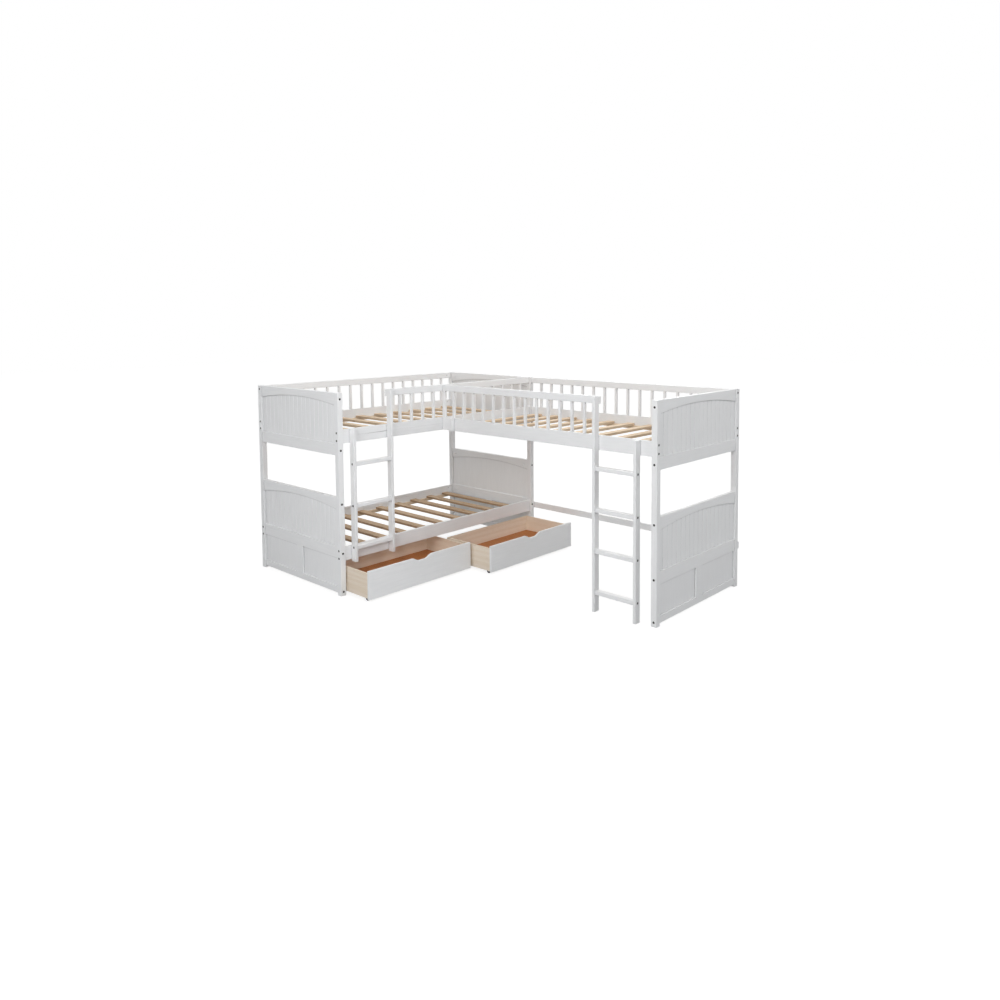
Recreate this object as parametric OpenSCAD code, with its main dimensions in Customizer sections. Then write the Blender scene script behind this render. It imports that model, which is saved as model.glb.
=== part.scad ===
// L-shaped bunk bed in painted pine: a twin-over-twin bunk, a twin loft bed that
// meets it at a right angle, two ladders and two under-bed drawers on casters.
// Plan: the bunk runs along Y, the loft runs along X from the bunk's near side.

/* [Beds] */
// Length of each bed over its two end posts
bed_length = 2020; // [1900:5:2400]
// Width of each bed over its two posts
bed_width = 1062; // [880:2:1300]
// Height of the posts
bed_height = 1430; // [1400:5:1720]
// Side of the square posts
post_size = 42; // [38:1:60]

/* [Side rails] */
// Height of the side rails
rail_height = 98; // [90:1:130]
// Thickness of the side rails
rail_thickness = 20; // [18:1:24]
// Distance from the post's outer face to the rail's outer face
rail_inset = 12; // [6:1:14]
// Underside of the bunk's lower side rails above the floor
lower_rail_z = 243; // [236:1:300]
// Underside of the upper side rails above the floor
upper_rail_z = 1074; // [1020:1:1100]

/* [End panels] */
// Thickness of the rails of the end panels
panel_rail_t = 30; // [18:1:34]
// Distance from the post's outer face to the panel's outer face
panel_inset = 6; // [3:1:12]
// Height of the panel rails at their ends
panel_rail_h = 84; // [72:1:96]
// Rise of the arches under the top rails
arch_rise = 36; // [10:1:42]
// Flat shoulder beside each post before an arch starts
arch_shoulder = 12; // [6:1:40]
// Underside of the upper panel above the floor
upper_panel_z = 991; // [940:1:1010]
// Top of the lower panel above the floor
lower_panel_top = 697; // [640:1:780]
// Top of the lower panel's middle rail above the floor
mid_rail_top = 350; // [346:1:400]
// Underside of the lower panel above the floor
panel_foot = 16; // [10:1:40]
// Height of the lower panel's bottom rail
base_rail_h = 46; // [40:1:80]
// Width of the stile between the two flat panels
stile_width = 80; // [60:1:120]
// Thickness of the grooved boards
board_t = 10; // [8:1:12]
// Thickness of the flat panels
flat_panel_t = 6; // [5:1:10]
// Depth by which boards and panels sit in the rails' grooves
tongue = 8; // [5:1:12]
// Number of planks that the grooves mark on each board
planks = 18; // [12:1:30]
// Width of a groove between planks
bead_width = 6; // [3:0.5:8]
// Depth of a groove between planks
bead_depth = 3; // [1:0.5:4]

/* [Slatted decks] */
// Number of slats in each deck
slat_count = 10; // [8:1:16]
// Width of a slat
slat_width = 64; // [50:1:90]
// Thickness of a slat
slat_t = 18; // [15:1:20]
// Height of the ledger strips under the slats
ledger_h = 23; // [18:1:30]
// Width of the ledger strips
ledger_w = 22; // [18:1:40]

/* [Guards] */
// Height of the guards' top rails
guard_rail_h = 50; // [40:1:70]
// Drop of the guards' top rails below the tops of the posts
guard_drop = 2; // [0:1:10]
// Width of a baluster
baluster_w = 18; // [14:1:30]
// Number of balusters in a guard along a whole bed
long_balusters = 16; // [12:1:18]
// Number of balusters in a guard beside a ladder
short_balusters = 13; // [10:1:15]

/* [Ladders] */
// Thickness of the ladder stiles
ladder_t = 22; // [18:1:28]
// Depth of the ladder stiles
ladder_d = 50; // [40:1:70]
// Width of the ladders over both stiles
ladder_width = 348; // [300:1:420]
// Gap between the bunk's end post and its ladder
bunk_entry = 59; // [40:1:300]
// Gap between the loft's end post and its ladder
loft_entry = 89; // [40:1:300]
// Height of a rung
rung_h = 29; // [24:1:40]
// Depth of a rung
rung_d = 40; // [30:1:48]
// Underside of the bunk ladder above the floor
bunk_ladder_z = 230; // [226:1:300]
// Middle of the bunk ladder's lowest rung above the floor
bunk_rung_z = 329; // [300:1:380]
// Step between the bunk ladder's rungs
bunk_rung_step = 297; // [250:1:330]
// Middle of the loft ladder's lowest rung above the floor
loft_rung_z = 131; // [100:1:200]
// Step between the loft ladder's rungs
loft_rung_step = 275; // [240:1:300]

/* [Back stretcher] */
// Height of the stretcher behind the loft's legs
stretcher_h = 50; // [40:1:90]
// Thickness of the stretcher
stretcher_t = 20; // [16:1:30]
// Underside of the stretcher above the floor
stretcher_z = 270; // [100:1:600]

/* [Drawers] */
// Gap between a drawer and the bed's post beside it
drawer_gap = 5; // [3:1:60]
// Gap between the two drawers
drawer_space = 16; // [8:1:120]
// Height of a drawer front
drawer_height = 202; // [150:1:204]
// Depth of a drawer, front included
drawer_depth = 505; // [350:1:900]
// Thickness of a drawer front
front_t = 18; // [15:1:24]
// Thickness of a drawer's sides and back
side_t = 12; // [9:1:18]
// Thickness of a drawer's bottom board
bottom_t = 5; // [3:1:6]
// Underside of a drawer front above the floor
front_z = 18; // [12:1:26]
// Width of the hand notch at its top
notch_width = 190; // [80:1:240]
// Depth of the hand notch
notch_depth = 25; // [12:1:50]
// How far the drawer by the left end is pulled out
left_pull = 262; // [0:1:450]
// How far the drawer by the corner is pulled out
right_pull = 469; // [0:1:485]
// Radius of a caster wheel
wheel_r = 20; // [12:0.5:20]
// Width of a caster wheel
wheel_w = 12; // [8:1:20]

/* [Fasteners] */
// Diameter of a bolt's shank
bolt_d = 6; // [5:0.5:8]
// Diameter of a bolt's head
bolt_head_d = 15; // [10:0.5:16]
// Length of a bolt that joins a rail to a post
bolt_length = 100; // [80:1:120]
// Diameter of a barrel nut
nut_d = 10; // [9:0.5:14]

/* [Hidden] */
fit = 0.3;                  // clearance round a part that sits in a hole
run_fit = 0.08;             // radial clearance of a wheel on its axle
edge_r = 3;                 // rounding of the posts, stiles and rungs
past = 1;                   // how far a cut runs past the face it opens
arc_fn = 720;               // steps round the flat arches
round_fn = 32;              // steps round small cylinders

clear_length = bed_length - 2 * post_size;
span_x = bed_width + clear_length + post_size;
span_y = bed_length + stretcher_t;
loft_y = bed_length - bed_width;
panel_clear = bed_width - 2 * post_size;
right_face = span_x - post_size;

rail_mid = rail_inset + rail_thickness / 2;
near_x = bed_width - rail_inset - rail_thickness;
near_face = near_x + rail_thickness;
far_x = rail_inset;
loft_near_y = loft_y + rail_inset;
loft_far_y = bed_length - rail_inset - rail_thickness;
upper_rail_top = upper_rail_z + rail_height;
guard_top = bed_height - guard_drop;
guard_z = guard_top - guard_rail_h;
guard_mid = guard_z + guard_rail_h / 2;

panel_mid = panel_inset + panel_rail_t / 2;
board_y = panel_inset + (panel_rail_t - board_t) / 2 + 1;
flat_y = panel_inset + (panel_rail_t - flat_panel_t) / 2;
upper_beam_top = upper_panel_z + panel_rail_h;
upper_spring = bed_height - panel_rail_h;
lower_spring = lower_panel_top - panel_rail_h;
mid_rail_z = mid_rail_top - panel_rail_h;
base_rail_top = panel_foot + base_rail_h;
arch_chord = panel_clear - 2 * arch_shoulder;
arch_r = (arch_chord * arch_chord / 4 + arch_rise * arch_rise) / (2 * arch_rise);

slat_gap = 1;               // gap between a slat's end and the side rail
slat_pitch = clear_length / slat_count;

bolt_bite = bolt_length - post_size;
nut_tail = 13;              // a bolt's end past its barrel nut's axis
nut_reach = bolt_bite - nut_tail;
ledger_gap = nut_reach + nut_d / 2 + 6;
head_h = 4.5;
head_sink = 1;              // bolt head below the face it sits in
socket_r = 3;
socket_h = 2.5;
nut_l = 14;
rail_bolts = [rail_height / 2 - 27, rail_height / 2 + 27];
ladder_bolts_z = [rail_height / 2 + 6, rail_height / 2 + 31];
panel_bolts = [
    bed_height - panel_rail_h / 2 - 2, upper_panel_z + panel_rail_h / 2 - 6,
    lower_panel_top - panel_rail_h / 2 - 6, mid_rail_top - panel_rail_h / 2 - 8,
    panel_foot + base_rail_h / 2 - 10
];
stretcher_bolt_z = stretcher_z + 14;
stretcher_bolt = stretcher_t + panel_mid - bolt_d;
stretcher_edge = 9;         // its bolts from the posts' faces that look into the loft
dowel_d = 8;
dowel_l = 40;
dowel_offset = 12;          // dowels from the bolts or the rail's middle
rung_screw = 60;

bunk_ladder_y = post_size + bunk_entry;
loft_ladder_x = right_face - loft_entry - ladder_width;
bunk_rungs = [for (i = [0:2]) bunk_rung_z + i * bunk_rung_step];
loft_rungs = [for (i = [0:3]) loft_rung_z + i * loft_rung_step];
block_size = 30;

front_overlap = 8;          // a drawer front's overhang past each side
side_drop = 20;             // a drawer's sides end below the top of its front
side_lift = 6;              // and start above the bottom of its front
front_lip = 6;              // a closed front stands this far outside the rail
drawer_start = post_size + drawer_gap;
drawer_width = (clear_length - 2 * drawer_gap - drawer_space) / 2;
box_width = drawer_width - 2 * front_overlap;
side_z = front_z + side_lift;
side_top = front_z + drawer_height - side_drop;
bottom_lift = 46;           // bottom board above the lower edge of the sides
bottom_z = side_z + bottom_lift;
groove_d = side_t / 2;
fork_t = 2;
wheel_gap = 1;
axle_r = 2;
fork_w = wheel_w + 2 * (wheel_gap + fork_t);
fork_l = 30;
caster_in = 34;             // caster's axle from the drawer box's ends

paint = [0.93, 0.93, 0.92];
pine = [0.84, 0.68, 0.47];
ply = [0.86, 0.74, 0.58];
hardboard = [0.66, 0.36, 0.17];
steel = [0.25, 0.25, 0.26];
tyre = [0.12, 0.12, 0.13];

// ---- shared shapes -------------------------------------------------------

// moves the plan's corner to the middle of the footprint
module place() {
    translate([-span_x / 2, -span_y / 2, 0]) children();
}

// a square bar along Z whose four long edges are rounded
module soft_bar(w, d, h, r = edge_r) {
    translate([r, 0, 0]) cube([w - 2 * r, d, h]);
    translate([0, r, 0]) cube([w, d - 2 * r, h]);
    for (x = [r, w - r], y = [r, d - r])
        translate([x, y, 0]) cylinder(r = r, h = h, $fn = round_fn);
}

// turns a shape drawn along +Z to run along one of the four level directions
module along(direction) {
    turn = direction == "+x" ? [0, 90, 0]
         : direction == "-x" ? [0, -90, 0]
         : direction == "+y" ? [-90, 0, 0] : [90, 0, 0];
    rotate(turn) children();
}

// a socket-head bolt whose face lies just under the surface at the origin
module bolt(l) {
    translate([0, 0, head_sink]) difference() {
        union() {
            cylinder(d = bolt_head_d, h = head_h, $fn = round_fn);
            cylinder(d = bolt_d, h = l - head_sink, $fn = round_fn);
        }
        translate([0, 0, -past]) cylinder(r = socket_r, h = socket_h + past, $fn = 6);
    }
}

// the hole that the bolt needs: counterbore, clearance and run-out
module bolt_hole(l) {
    translate([0, 0, -past])
        cylinder(d = bolt_head_d + 2 * fit, h = head_sink + head_h + past, $fn = round_fn);
    cylinder(d = bolt_d + 2 * fit, h = l + past, $fn = round_fn);
}

// a barrel nut along Z, crossed by its bolt's hole along X
module barrel_nut() {
    difference() {
        translate([0, 0, -nut_l / 2]) cylinder(d = nut_d, h = nut_l, $fn = round_fn);
        translate([-nut_d, 0, 0]) rotate([0, 90, 0])
            cylinder(d = bolt_d + fit, h = 2 * nut_d, $fn = round_fn);
    }
}

// its pocket, open on the rail's face at the far end of +Z
module nut_pocket(depth) {
    translate([0, 0, -nut_l / 2 - fit])
        cylinder(d = nut_d + 2 * fit, h = depth + nut_l / 2 + fit + past, $fn = round_fn);
}

// ---- end panels ----------------------------------------------------------
// A panel is drawn with its outside facing -Y, X from 0 to bed_width.

module at_left() { place() children(); }

module at_corner() {
    place() translate([bed_width, bed_length, 0]) rotate([0, 0, 180]) children();
}

module at_right() {
    place() translate([span_x, loft_y, 0]) rotate([0, 0, 90]) children();
}

// points [x, z] of the bolts that run inwards through a panel's posts
function rail_ends(x, zs) = [for (z = zs, b = rail_bolts) [x, z + b]];
left_ends = concat(
    rail_ends(rail_mid, [lower_rail_z, upper_rail_z]),
    rail_ends(bed_width - rail_mid, [lower_rail_z, upper_rail_z]),
    [[rail_mid, guard_mid]]
);
corner_ends = concat(left_ends, [[bed_width - rail_mid, guard_mid]]);
right_ends = concat(
    rail_ends(rail_mid, [upper_rail_z]),
    rail_ends(bed_width - rail_mid, [upper_rail_z]),
    [[bed_width - rail_mid, guard_mid]]
);

// children at each bolt that joins a panel's own rails to its posts
module panel_bolt_spots() {
    for (z = panel_bolts) {
        translate([0, panel_mid, z]) along("+x") children();
        translate([bed_width, panel_mid, z]) along("-x") children();
    }
}

// children at each bolt that joins the side rails and guards to a panel
module rail_bolt_spots(ends) {
    for (e = ends) translate([e[0], 0, e[1]]) along("+y") children();
}

module panel_posts(ends) {
    difference() {
        for (x = [0, bed_width - post_size])
            translate([x, 0, 0]) soft_bar(post_size, post_size, bed_height);
        panel_bolt_spots() bolt_hole(bolt_length);
        rail_bolt_spots(ends) bolt_hole(bolt_length);
    }
}

// bores and nut pockets in the two ends of a panel rail whose bolts are at z
module panel_rail_bores(z) {
    for (side = [0, 1]) translate([side * bed_width, 0, 0]) mirror([side, 0, 0]) {
        translate([post_size - past, panel_mid, z]) along("+x")
            cylinder(d = bolt_d + 2 * fit, h = bolt_bite + 2 * past, $fn = round_fn);
        translate([post_size + nut_reach, panel_mid, z]) along("+y")
            nut_pocket(panel_rail_t / 2);
    }
}

// a vertical outline that fills the panel up to an arch; extra makes it larger
module arch_fill(z0, spring, extra, y, t) {
    translate([post_size - past, y, z0])
        cube([panel_clear + 2 * past, t, spring + extra - z0]);
    intersection() {
        translate([bed_width / 2, y + t, spring + arch_rise - arch_r]) rotate([90, 0, 0])
            cylinder(r = arch_r + extra, h = t, $fn = arc_fn);
        translate([post_size, y, spring - past])
            cube([panel_clear, t, arch_rise + extra + 2 * past]);
    }
}

// a top rail with its arched lower edge and the groove for the board below it
module arched_rail(spring, bolt_z) {
    difference() {
        translate([post_size, panel_inset, spring])
            cube([panel_clear, panel_rail_t, panel_rail_h]);
        intersection() {
            arch_fill(spring - past, spring, 0, panel_inset - past, panel_rail_t + 2 * past);
            translate([post_size + arch_shoulder / 2, 0, spring - past])
                cube([panel_clear - arch_shoulder, post_size, panel_rail_h]);
        }
        arch_fill(spring - past, spring, tongue + fit, board_y, board_t);
        panel_rail_bores(bolt_z);
    }
}

// a straight rail; grooves above and below where a board or panels enter it
module straight_rail(z, h, bolt_z, above = 0, below = 0) {
    difference() {
        translate([post_size, panel_inset, z]) cube([panel_clear, panel_rail_t, h]);
        if (above > 0) translate([0, above == board_t ? board_y : flat_y, z + h - tongue - fit])
            cube([bed_width, above, tongue + fit + past]);
        if (below > 0) translate([0, flat_y, z - past])
            cube([bed_width, below, tongue + fit + past]);
        panel_rail_bores(bolt_z);
    }
}

// the outline of the V between two planks, run out past the board's face
bead_mouth = bead_width / 2 * (1 + past / bead_depth);
bead_groove = [[-bead_mouth, -past], [bead_mouth, -past], [0, bead_depth]];

// a grooved board from z0 up to the arch whose springing is given
module beadboard(z0, spring) {
    pitch = panel_clear / planks;
    difference() {
        intersection() {
            arch_fill(z0, spring, tongue, board_y, board_t);
            translate([post_size, board_y, z0]) cube([panel_clear, board_t, bed_height]);
        }
        for (i = [1:planks - 1]) translate([post_size + i * pitch, board_y, z0 - past])
            linear_extrude(bed_height) polygon(bead_groove);
    }
}

module beadboards() {
    beadboard(upper_beam_top - tongue, upper_spring);
    beadboard(mid_rail_top - tongue, lower_spring);
}

module lower_frame() {
    straight_rail(mid_rail_z, panel_rail_h, panel_bolts[3], board_t, flat_panel_t);
    straight_rail(panel_foot, base_rail_h, panel_bolts[4], flat_panel_t);
    difference() {
        translate([bed_width / 2 - stile_width / 2, panel_inset, base_rail_top])
            cube([stile_width, panel_rail_t, mid_rail_z - base_rail_top]);
        for (side = [-1, 1])
            translate([bed_width / 2 + side * stile_width / 2 - tongue - fit, flat_y,
                       base_rail_top - past])
                cube([2 * (tongue + fit), flat_panel_t, mid_rail_z - base_rail_top + 2 * past]);
    }
}

module flat_panels() {
    width = (panel_clear - stile_width) / 2 + tongue;
    for (x = [post_size, bed_width - post_size - width])
        translate([x, flat_y, base_rail_top - tongue])
            cube([width, flat_panel_t, mid_rail_z - base_rail_top + 2 * tongue]);
}

// ---- side rails ----------------------------------------------------------

// bores in one end of a rail that runs along Y from y to y + l, centred on x
module rail_end_bores(x, y, z, heights, inward, reach = bolt_bite) {
    for (b = heights) {
        translate([x, y - inward * past, z + b]) along(inward > 0 ? "+y" : "-y")
            cylinder(d = bolt_d + 2 * fit, h = reach + 2 * past, $fn = round_fn);
    }
}

// a nut pocket at y, opening towards +X (side = 1) or -X (side = -1)
module rail_nut_pockets(x, y, z, heights, side) {
    for (b = heights) translate([x, y, z + b]) along(side > 0 ? "+x" : "-x")
        nut_pocket(rail_thickness / 2);
}

// a bunk side rail at x; its nut pockets open on the inner face
module bunk_rail(x, z, side) {
    difference() {
        translate([x, post_size, z]) cube([rail_thickness, clear_length, rail_height]);
        bunk_rail_ends(x + rail_thickness / 2, z, rail_bolts, side);
    }
}

module bunk_rail_ends(x, z, heights, side) {
    rail_end_bores(x, post_size, z, heights, 1);
    rail_end_bores(x, bed_length - post_size, z, heights, -1);
    rail_nut_pockets(x, post_size + nut_reach, z, heights, side);
    rail_nut_pockets(x, bed_length - post_size - nut_reach, z, heights, side);
}

// children at the bolts that hold the bunk ladder's stiles to a rail at z
module bunk_ladder_spots(z) {
    for (y = [ladder_t / 2, ladder_width - ladder_t / 2], b = ladder_bolts_z)
        translate([near_x, bunk_ladder_y + y, z + b]) along("+x") children();
}

// children at the bolts that hold the loft ladder's stiles to the loft's rail
module loft_ladder_spots() {
    for (x = [ladder_t / 2, ladder_width - ladder_t / 2], b = ladder_bolts_z)
        translate([loft_ladder_x + x, loft_near_y + rail_thickness, upper_rail_z + b])
            along("-y") children();
}

// children at the bolts that carry the loft's near rail and guard on the bunk
module loft_joint_spots() {
    for (z = [upper_rail_z + ladder_bolts_z[0], upper_rail_z + ladder_bolts_z[1], guard_mid])
        translate([near_x, loft_near_y + rail_thickness / 2, z]) along("+x") children();
}

// children at the bolts that hold the short guards to the ladders' long stiles
module guard_stile_spots() {
    translate([near_x, bunk_ladder_y + ladder_width - ladder_t / 2, guard_mid])
        along("+x") children();
    translate([loft_ladder_x + ladder_t / 2, loft_near_y + rail_thickness, guard_mid])
        along("-y") children();
}

stile_bolt = rail_thickness + ladder_d / 2 - bolt_d - 1;
joint_bolt = rail_thickness + bolt_bite;

module bunk_upper_side_rails() {
    color(paint) place() {
        bunk_rail(far_x, upper_rail_z, 1);
        difference() {
            bunk_rail(near_x, upper_rail_z, -1);
            bunk_ladder_spots(upper_rail_z) bolt_hole(stile_bolt);
            loft_joint_spots() bolt_hole(joint_bolt);
        }
    }
}

module bunk_lower_side_rails() {
    color(paint) place() {
        bunk_rail(far_x, lower_rail_z, 1);
        difference() {
            bunk_rail(near_x, lower_rail_z, -1);
            bunk_ladder_spots(lower_rail_z) bolt_hole(stile_bolt);
        }
    }
}

// the part of a loft rail's end bores that both loft side rails share
module loft_right_bores(y, z, heights, side) {
    for (b = heights) {
        translate([right_face + past, y, z + b]) along("-x")
            cylinder(d = bolt_d + 2 * fit, h = bolt_bite + 2 * past, $fn = round_fn);
        translate([right_face - nut_reach, y, z + b]) along(side > 0 ? "+y" : "-y")
            nut_pocket(rail_thickness / 2);
    }
}

module loft_joint_bores(zs) {
    for (z = zs) {
        translate([near_face - past, loft_near_y + rail_thickness / 2, z]) along("+x")
            cylinder(d = bolt_d + 2 * fit, h = bolt_bite + 2 * past, $fn = round_fn);
        translate([near_face + nut_reach, loft_near_y + rail_thickness / 2, z]) along("+y")
            nut_pocket(rail_thickness / 2);
    }
}

dowel_heights = [
    upper_rail_z + rail_height / 2 - dowel_offset, upper_rail_z + rail_height / 2 + dowel_offset,
    guard_mid + dowel_offset
];

// children at the dowels that seat the loft's far rails on the corner post
module dowel_spots() {
    for (z = dowel_heights)
        translate([bed_width - dowel_l / 2, loft_far_y + rail_thickness / 2, z])
            along("+x") children();
}

module dowel_hole() {
    translate([0, 0, -fit]) cylinder(d = dowel_d, h = dowel_l + 2 * fit, $fn = round_fn);
}

module loft_side_rails() {
    color(paint) place() {
        difference() {
            translate([near_face, loft_near_y, upper_rail_z])
                cube([right_face - near_face, rail_thickness, rail_height]);
            loft_right_bores(loft_near_y + rail_thickness / 2, upper_rail_z, rail_bolts, 1);
            loft_joint_bores([for (b = ladder_bolts_z) upper_rail_z + b]);
            loft_ladder_spots() bolt_hole(stile_bolt);
        }
        difference() {
            translate([bed_width, loft_far_y, upper_rail_z])
                cube([right_face - bed_width, rail_thickness, rail_height]);
            loft_right_bores(loft_far_y + rail_thickness / 2, upper_rail_z, rail_bolts, -1);
            dowel_spots() dowel_hole();
        }
    }
}

module loft_dowels() {
    color(pine) place() dowel_spots()
        cylinder(d = dowel_d - 2 * run_fit, h = dowel_l, $fn = round_fn);
}

// the square block on the loft's near rail, under the first baluster by the corner
module corner_block() {
    color(paint) place() translate([block_x, loft_near_y - block_size, upper_rail_z])
        soft_bar(block_size, block_size, rail_height);
}

module back_stretcher() {
    color(paint) place() difference() {
        translate([bed_width - post_size + 2, bed_length, stretcher_z])
            cube([right_face - bed_width + 2 * post_size - 4, stretcher_t, stretcher_h]);
        stretcher_spots() bolt_hole(stretcher_bolt);
    }
}

module stretcher_spots() {
    for (x = [bed_width - stretcher_edge, right_face + stretcher_edge])
        translate([x, span_y, stretcher_bolt_z]) along("-y") children();
}

// ---- slatted decks -------------------------------------------------------

module bunk_ledgers(z) {
    length = clear_length - 2 * ledger_gap;
    for (x = [far_x + rail_thickness, near_x - ledger_w])
        translate([x, post_size + ledger_gap, z]) cube([ledger_w, length, ledger_h]);
}

module slat_ledgers() {
    length = clear_length - 2 * ledger_gap;
    color(pine) place() {
        bunk_ledgers(lower_rail_z);
        bunk_ledgers(upper_rail_z);
        for (y = [loft_near_y + rail_thickness, loft_far_y - ledger_w])
            translate([bed_width + ledger_gap, y, upper_rail_z])
                cube([length, ledger_w, ledger_h]);
    }
}

slat_length = near_x - far_x - rail_thickness - 2 * slat_gap;

module bunk_slats(z) {
    for (i = [0:slat_count - 1])
        translate([far_x + rail_thickness + slat_gap,
                   post_size + (i + 0.5) * slat_pitch - slat_width / 2, z + ledger_h])
            cube([slat_length, slat_width, slat_t]);
}

module lower_deck_slats() { color(pine) place() bunk_slats(lower_rail_z); }

module upper_deck_slats() { color(pine) place() bunk_slats(upper_rail_z); }

module loft_deck_slats() {
    color(pine) place() for (i = [0:slat_count - 1])
        translate([bed_width + (i + 0.5) * slat_pitch - slat_width / 2,
                   loft_near_y + rail_thickness + slat_gap, upper_rail_z + ledger_h])
            cube([slat_width, slat_length, slat_t]);
}

// ---- guards --------------------------------------------------------------

short_start = bunk_ladder_y + ladder_width;
short_length = bed_length - post_size - short_start;
loft_short_length = loft_ladder_x - near_face;
block_x = near_face + (loft_short_length - block_size / 2) / (short_balusters + 1);

module bunk_guard_rails() {
    color(paint) place() {
        difference() {
            translate([far_x, post_size, guard_z])
                cube([rail_thickness, clear_length, guard_rail_h]);
            bunk_rail_ends(far_x + rail_thickness / 2, guard_z, [guard_rail_h / 2], 1);
        }
        difference() {
            translate([near_x, short_start - ladder_t, guard_z])
                cube([rail_thickness, short_length + ladder_t, guard_rail_h]);
            rail_end_bores(near_x + rail_thickness / 2, bed_length - post_size, guard_z,
                           [guard_rail_h / 2], -1);
            rail_nut_pockets(near_x + rail_thickness / 2, bed_length - post_size - nut_reach,
                             guard_z, [guard_rail_h / 2], -1);
            guard_stile_spots() bolt_hole(stile_bolt);
            loft_joint_spots() bolt_hole(joint_bolt);
        }
    }
}

module loft_guard_rails() {
    color(paint) place() {
        difference() {
            translate([bed_width, loft_far_y, guard_z])
                cube([right_face - bed_width, rail_thickness, guard_rail_h]);
            loft_right_bores(loft_far_y + rail_thickness / 2, guard_z, [guard_rail_h / 2], -1);
            dowel_spots() dowel_hole();
        }
        difference() {
            translate([near_face, loft_near_y, guard_z])
                cube([loft_short_length + ladder_t, rail_thickness, guard_rail_h]);
            loft_joint_bores([guard_mid]);
            guard_stile_spots() bolt_hole(stile_bolt);
        }
    }
}

baluster_h = guard_z - upper_rail_top;

// a row of balusters spread evenly over a length that starts at the origin
module baluster_row(length, count, direction) {
    pitch = length / (count + 1);
    for (i = [1:count]) {
        if (direction == "y") translate([0, i * pitch - baluster_w / 2, upper_rail_top])
            cube([rail_thickness, baluster_w, baluster_h]);
        else translate([i * pitch - baluster_w / 2, 0, upper_rail_top])
            cube([baluster_w, rail_thickness, baluster_h]);
    }
}

module bunk_balusters() {
    color(paint) place() {
        translate([far_x, post_size, 0]) baluster_row(clear_length, long_balusters, "y");
        translate([near_x, short_start, 0]) baluster_row(short_length, short_balusters, "y");
    }
}

module loft_balusters() {
    color(paint) place() {
        translate([bed_width, loft_far_y, 0]) baluster_row(clear_length, long_balusters, "x");
        translate([near_face + block_size / 2, loft_near_y, 0])
            baluster_row(loft_short_length - block_size / 2, short_balusters, "x");
        translate([near_face, loft_near_y, upper_rail_top])
            cube([block_size, rail_thickness, baluster_h]);
    }
}

// ---- ladders -------------------------------------------------------------

// two stiles along Z and their rung screws, X outwards and Y across the ladder
module ladder_stiles(z0, first_top, second_top, rungs) {
    difference() {
        union() {
            translate([0, 0, z0]) soft_bar(ladder_d, ladder_t, first_top - z0);
            translate([0, ladder_width - ladder_t, z0])
                soft_bar(ladder_d, ladder_t, second_top - z0);
        }
        rung_screw_spots(rungs) bolt_hole(rung_screw);
    }
}

module rung_screw_spots(rungs) {
    for (z = rungs) {
        translate([ladder_d / 2, 0, z]) along("+y") children();
        translate([ladder_d / 2, ladder_width, z]) along("-y") children();
    }
}

module ladder_rungs(rungs) {
    difference() {
        for (z = rungs) translate([ladder_d / 2 - rung_d / 2, ladder_t, z + rung_h / 2])
            rotate([-90, 0, 0]) soft_bar(rung_d, rung_h, ladder_width - 2 * ladder_t, 5);
        rung_screw_spots(rungs) bolt_hole(rung_screw);
    }
}

module at_bunk_ladder() {
    place() translate([near_face, bunk_ladder_y, 0]) children();
}

// the loft ladder faces -Y, its long stile on the corner's side
module at_loft_ladder() {
    place() translate([loft_ladder_x, loft_near_y, 0]) rotate([0, 0, -90]) children();
}

module bunk_ladder_stiles() {
    color(paint) difference() {
        at_bunk_ladder() ladder_stiles(bunk_ladder_z, upper_rail_top, bed_height, bunk_rungs);
        place() {
            bunk_ladder_spots(lower_rail_z) bolt_hole(stile_bolt);
            bunk_ladder_spots(upper_rail_z) bolt_hole(stile_bolt);
            guard_stile_spots() bolt_hole(stile_bolt);
        }
    }
}

module bunk_ladder_rungs() { color(paint) at_bunk_ladder() ladder_rungs(bunk_rungs); }

module loft_ladder_stiles() {
    color(paint) difference() {
        at_loft_ladder() ladder_stiles(0, bed_height, upper_rail_top, loft_rungs);
        place() {
            loft_ladder_spots() bolt_hole(stile_bolt);
            guard_stile_spots() bolt_hole(stile_bolt);
        }
    }
}

module loft_ladder_rungs() { color(paint) at_loft_ladder() ladder_rungs(loft_rungs); }

// ---- fasteners -----------------------------------------------------------

module frame_bolts() {
    color(steel) {
        at_left() {
            panel_bolt_spots() bolt(bolt_length);
            rail_bolt_spots(left_ends) bolt(bolt_length);
        }
        at_corner() {
            panel_bolt_spots() bolt(bolt_length);
            rail_bolt_spots(corner_ends) bolt(bolt_length);
        }
        at_right() {
            panel_bolt_spots() bolt(bolt_length);
            rail_bolt_spots(right_ends) bolt(bolt_length);
        }
        place() {
            stretcher_spots() bolt(stretcher_bolt);
            loft_joint_spots() bolt(joint_bolt);
        }
    }
}

module ladder_bolts() {
    color(steel) {
        at_bunk_ladder() rung_screw_spots(bunk_rungs) bolt(rung_screw);
        at_loft_ladder() rung_screw_spots(loft_rungs) bolt(rung_screw);
        place() {
            bunk_ladder_spots(lower_rail_z) bolt(stile_bolt);
            bunk_ladder_spots(upper_rail_z) bolt(stile_bolt);
            loft_ladder_spots() bolt(stile_bolt);
            guard_stile_spots() bolt(stile_bolt);
        }
    }
}

// nuts of one panel: its own rails' and the side rails' that its posts carry
module panel_nuts(ends) {
    for (z = panel_bolts, x = [post_size + nut_reach, bed_width - post_size - nut_reach])
        translate([x, panel_mid, z]) along("+y") barrel_nut();
    for (e = ends) translate([e[0], post_size + nut_reach, e[1]]) rotate([0, 0, 90])
        along("+y") barrel_nut();
}

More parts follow.
